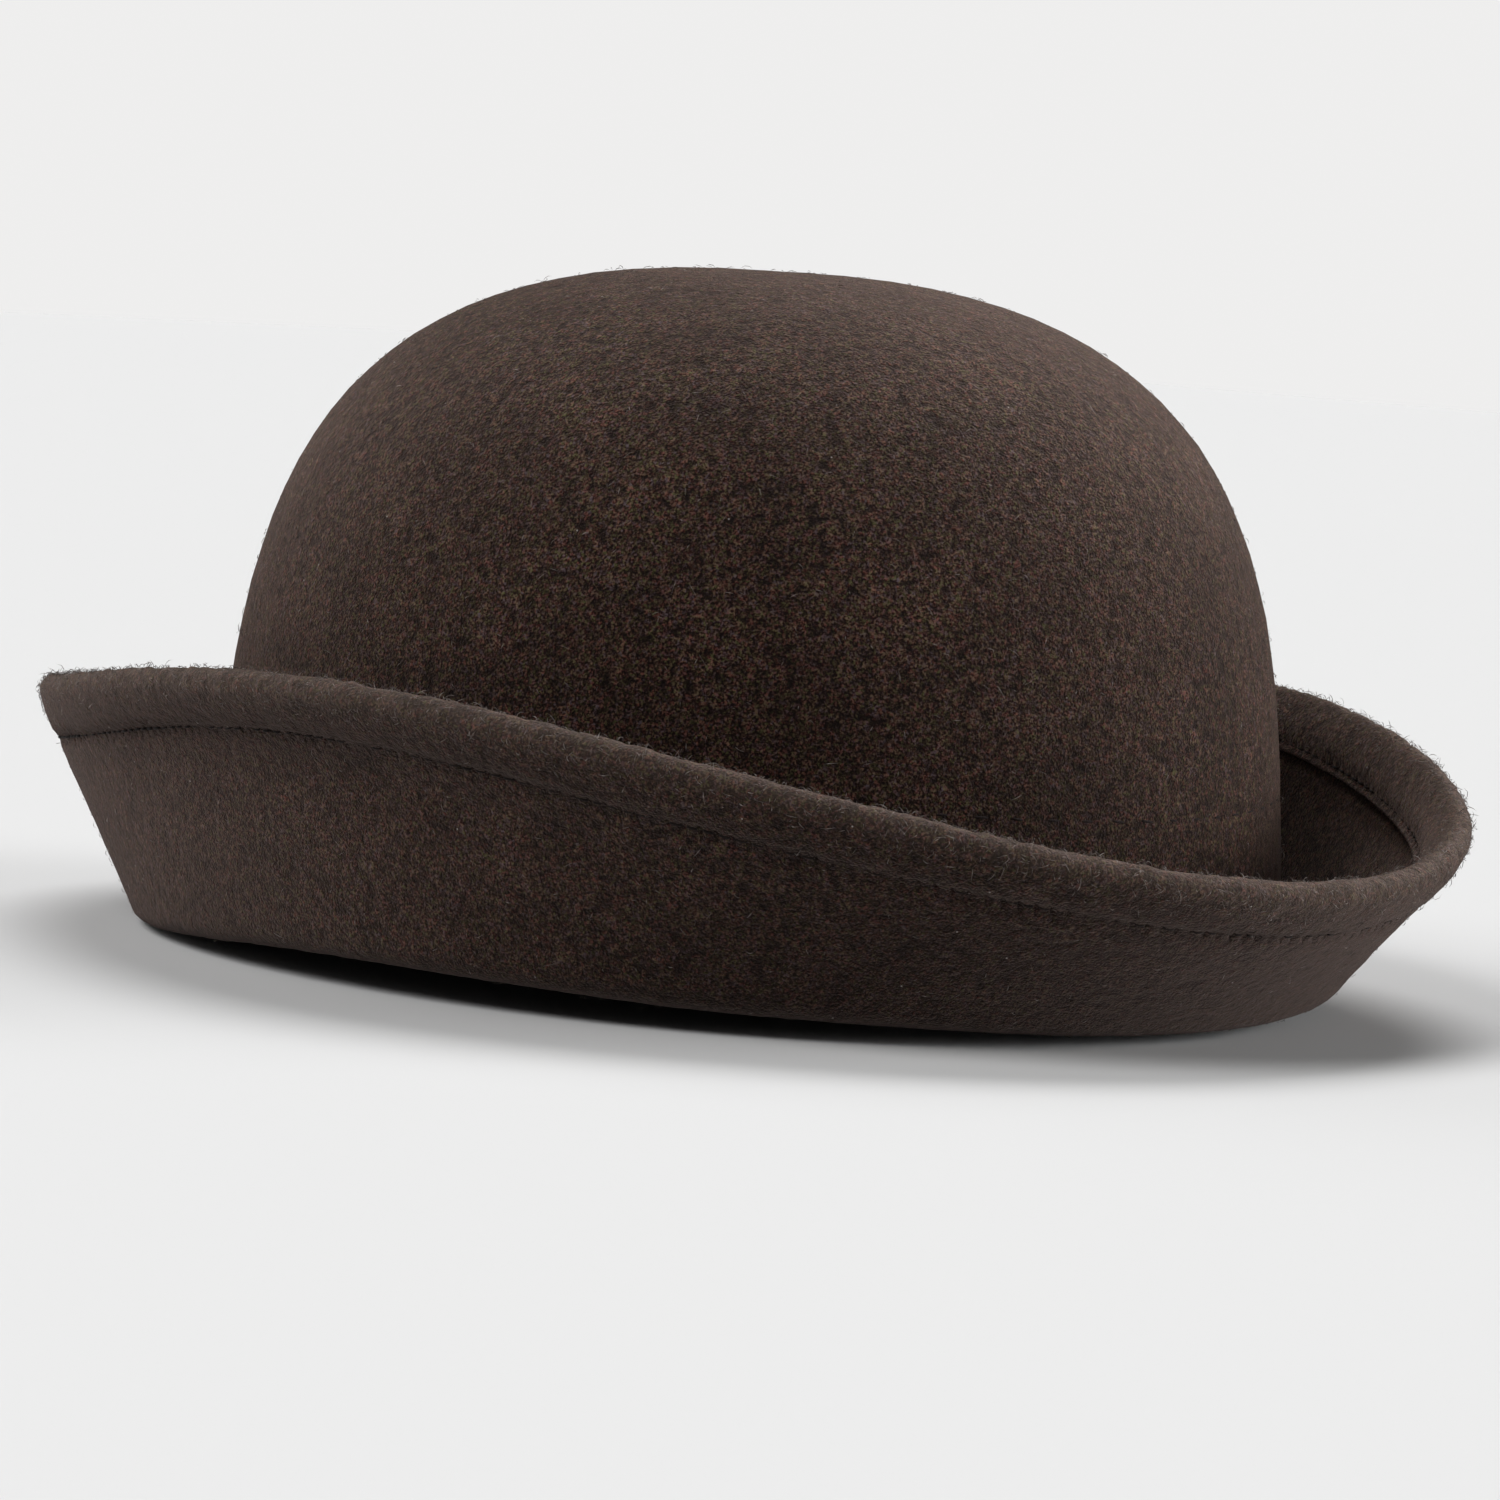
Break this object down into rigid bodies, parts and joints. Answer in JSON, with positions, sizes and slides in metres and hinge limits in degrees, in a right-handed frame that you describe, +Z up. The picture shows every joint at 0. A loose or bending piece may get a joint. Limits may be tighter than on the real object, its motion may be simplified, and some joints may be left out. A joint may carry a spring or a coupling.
{
  "type": "bowler hat",
  "caption": "Bowler hat of wool felt with a round crown, a turned-up brim with a stitched, wired edge, a ribbon sweatband and blank labels.",
  "frame": {"origin": "centre of the bounding box in plan, on the surface that the brim rests on", "axes": "+Z up through the crown, front of the hat towards -Y, wearer's left towards +X"},
  "size_m": [0.2292, 0.2724, 0.1214],
  "materials": {
    "wool_felt": "dark brown pressed wool felt, matt, with a short fine nap",
    "hem_thread": "dark brown sewing thread, matt",
    "tack_thread": "dark brown sewing thread, matt",
    "spring_steel": "bare drawn wire",
    "crimp_sleeve": "plain crimped tube",
    "grosgrain": "near-black ribbed ribbon with woven selvedges",
    "label_weave": "blank off-white woven tape",
    "label_satin": "blank white satin tape",
    "label_thread": "off-white sewing thread"
  },
  "bodies": {
    "hat": {"felt_body": "wool_felt", "brim_wire": "spring_steel", "wire_joiner": "crimp_sleeve", "hem_stitching": "hem_thread", "sweatband": "grosgrain", "sweatband_stitching": "tack_thread", "sweatband_join_stitching": "tack_thread", "size_label": "label_weave", "size_label_stitching": "label_thread", "care_label_stitching": "label_thread"},
    "care_label_leaf": {"care_label": "label_satin"}
  },
  "joints": [
    {"name": "care_label_lift", "type": "hinge", "parent": "hat", "child": "care_label_leaf", "pos_m": [0.0856, -0.00292, 0.0359], "axis": [0, 1, 0], "range_deg": [0, 140]}
  ]
}
